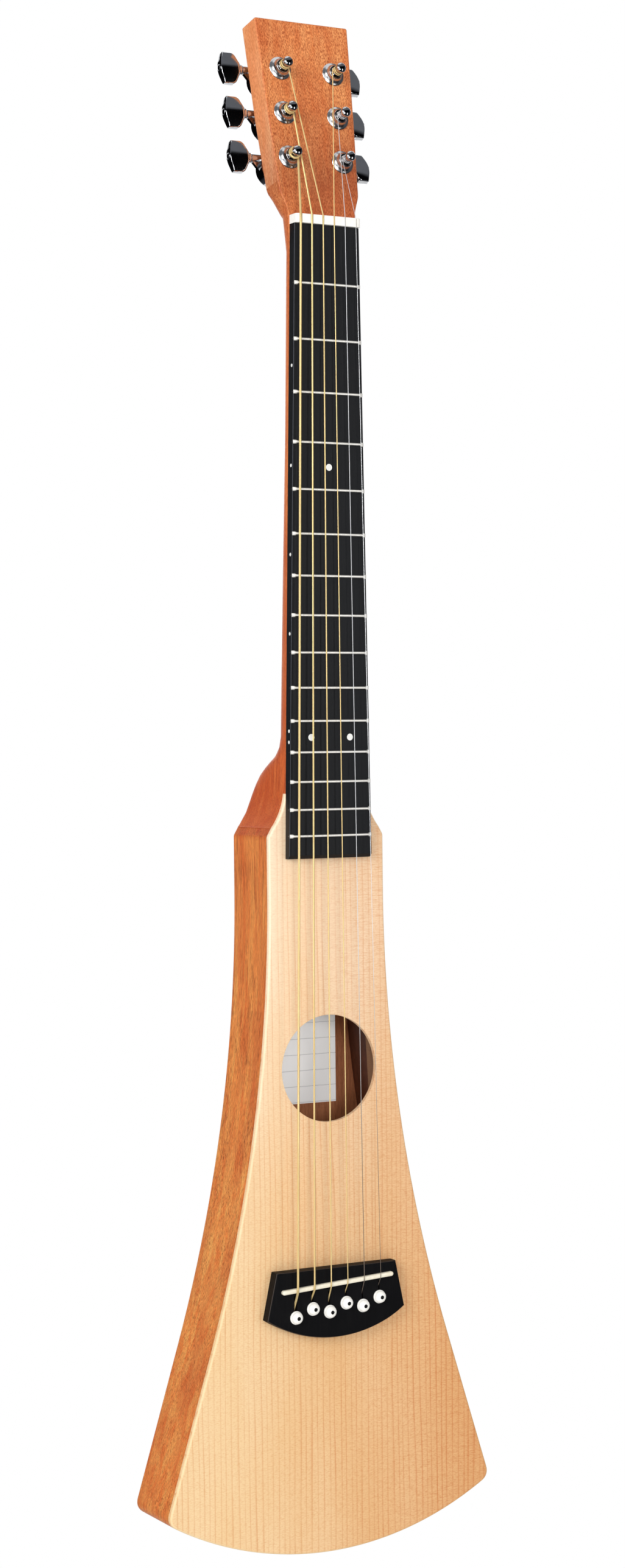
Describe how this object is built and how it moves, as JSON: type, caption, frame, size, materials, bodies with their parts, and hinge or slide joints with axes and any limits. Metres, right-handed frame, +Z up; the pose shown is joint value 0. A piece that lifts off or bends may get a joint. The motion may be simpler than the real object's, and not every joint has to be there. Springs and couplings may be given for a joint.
{
  "type": "travel guitar",
  "caption": "Slim travel guitar with a narrow flared body, round soundhole, heeled bolt-free neck, tilted headstock and geared tuning machines that turn with their string posts.",
  "frame": {"origin": "middle of the neck's thickness 13 mm above the nut's front edge, between the two arms of a wall hanger that carry the headstock's shoulders", "axes": "+Z up the neck to the headstock, -Y the way the soundboard faces, +X to the treble side"},
  "size_m": [0.2122, 0.057, 0.8959],
  "materials": {
    "neck_wood": "satin reddish brown, straight grain",
    "body_wood": "satin orange brown, straight grain",
    "soundboard_wood": "satin pale softwood, straight grain",
    "black_wood": "matte black composite",
    "white_plastic": "polished white",
    "cream_plastic": "polished cream",
    "fret_wire": "polished nickel silver",
    "bronze_wound": "bronze wire winding",
    "plain_steel": "bright plain steel",
    "chrome": "polished chrome"
  },
  "bodies": {
    "guitar": {"neck": "neck_wood", "fingerboard": "black_wood", "nut": "white_plastic", "soundboard": "soundboard_wood", "side_frame": "body_wood", "back_plate": "body_wood", "top_bracing": "soundboard_wood", "bridge": "black_wood", "saddle": "cream_plastic", "fret_1": "fret_wire", "fret_2": "fret_wire", "fret_3": "fret_wire", "fret_4": "fret_wire", "fret_5": "fret_wire", "fret_6": "fret_wire", "fret_7": "fret_wire", "fret_8": "fret_wire", "fret_9": "fret_wire", "fret_10": "fret_wire", "fret_11": "fret_wire", "fret_12": "fret_wire", "fret_13": "fret_wire", "fret_14": "fret_wire", "fret_15": "fret_wire", "string_6": "bronze_wound", "string_5": "bronze_wound", "string_4": "bronze_wound", "string_3": "bronze_wound", "string_2": "plain_steel", "string_1": "plain_steel", "bridge_pin_6": "white_plastic", "bridge_pin_5": "white_plastic", "bridge_pin_4": "white_plastic", "bridge_pin_3": "white_plastic", "bridge_pin_2": "white_plastic", "bridge_pin_1": "white_plastic", "tuner_housing_6": "chrome", "tuner_housing_5": "chrome", "tuner_housing_4": "chrome", "tuner_housing_3": "chrome", "tuner_housing_2": "chrome", "tuner_housing_1": "chrome", "tuner_bushing_6": "chrome", "tuner_bushing_5": "chrome", "tuner_bushing_4": "chrome", "tuner_bushing_3": "chrome", "tuner_bushing_2": "chrome", "tuner_bushing_1": "chrome"},
    "knob_6": {"tuner_knob_6": "chrome"},
    "knob_5": {"tuner_knob_5": "chrome"},
    "knob_4": {"tuner_knob_4": "chrome"},
    "knob_3": {"tuner_knob_3": "chrome"},
    "knob_2": {"tuner_knob_2": "chrome"},
    "knob_1": {"tuner_knob_1": "chrome"},
    "post_6": {"tuner_post_6": "chrome"},
    "post_5": {"tuner_post_5": "chrome"},
    "post_4": {"tuner_post_4": "chrome"},
    "post_3": {"tuner_post_3": "chrome"},
    "post_2": {"tuner_post_2": "chrome"},
    "post_1": {"tuner_post_1": "chrome"}
  },
  "joints": [
    {"name": "knob_6_spin", "type": "hinge", "parent": "guitar", "child": "knob_6", "pos_m": [-0.0176, 0.01881, 0.02904], "axis": [-1, 0, 0], "continuous": true},
    {"name": "knob_5_spin", "type": "hinge", "parent": "guitar", "child": "knob_5", "pos_m": [-0.0176, 0.02395, 0.05575], "axis": [-1, 0, 0], "continuous": true},
    {"name": "knob_4_spin", "type": "hinge", "parent": "guitar", "child": "knob_4", "pos_m": [-0.0176, 0.02909, 0.08246], "axis": [-1, 0, 0], "continuous": true},
    {"name": "knob_3_spin", "type": "hinge", "parent": "guitar", "child": "knob_3", "pos_m": [0.0176, 0.02909, 0.08246], "axis": [1, 0, 0], "continuous": true},
    {"name": "knob_2_spin", "type": "hinge", "parent": "guitar", "child": "knob_2", "pos_m": [0.0176, 0.02395, 0.05575], "axis": [1, 0, 0], "continuous": true},
    {"name": "knob_1_spin", "type": "hinge", "parent": "guitar", "child": "knob_1", "pos_m": [0.0176, 0.01881, 0.02904], "axis": [1, 0, 0], "continuous": true},
    {"name": "post_6_spin", "type": "hinge", "parent": "guitar", "child": "post_6", "pos_m": [-0.0176, -0.00235, 0.027], "axis": [0, -0.982, 0.1889], "continuous": true},
    {"name": "post_5_spin", "type": "hinge", "parent": "guitar", "child": "post_5", "pos_m": [-0.0176, 0.00279, 0.05371], "axis": [0, -0.982, 0.1889], "continuous": true},
    {"name": "post_4_spin", "type": "hinge", "parent": "guitar", "child": "post_4", "pos_m": [-0.0176, 0.00793, 0.08042], "axis": [0, -0.982, 0.1889], "continuous": true},
    {"name": "post_3_spin", "type": "hinge", "parent": "guitar", "child": "post_3", "pos_m": [0.0176, 0.00793, 0.08042], "axis": [0, -0.982, 0.1889], "continuous": true},
    {"name": "post_2_spin", "type": "hinge", "parent": "guitar", "child": "post_2", "pos_m": [0.0176, 0.00279, 0.05371], "axis": [0, -0.982, 0.1889], "continuous": true},
    {"name": "post_1_spin", "type": "hinge", "parent": "guitar", "child": "post_1", "pos_m": [0.0176, -0.00235, 0.027], "axis": [0, -0.982, 0.1889], "continuous": true}
  ],
  "couplings": [
    {"joint": "post_6_spin", "follows": "knob_6_spin", "ratio": 0.071429},
    {"joint": "post_5_spin", "follows": "knob_5_spin", "ratio": 0.071429},
    {"joint": "post_4_spin", "follows": "knob_4_spin", "ratio": 0.071429},
    {"joint": "post_3_spin", "follows": "knob_3_spin", "ratio": 0.071429},
    {"joint": "post_2_spin", "follows": "knob_2_spin", "ratio": 0.071429},
    {"joint": "post_1_spin", "follows": "knob_1_spin", "ratio": 0.071429}
  ]
}
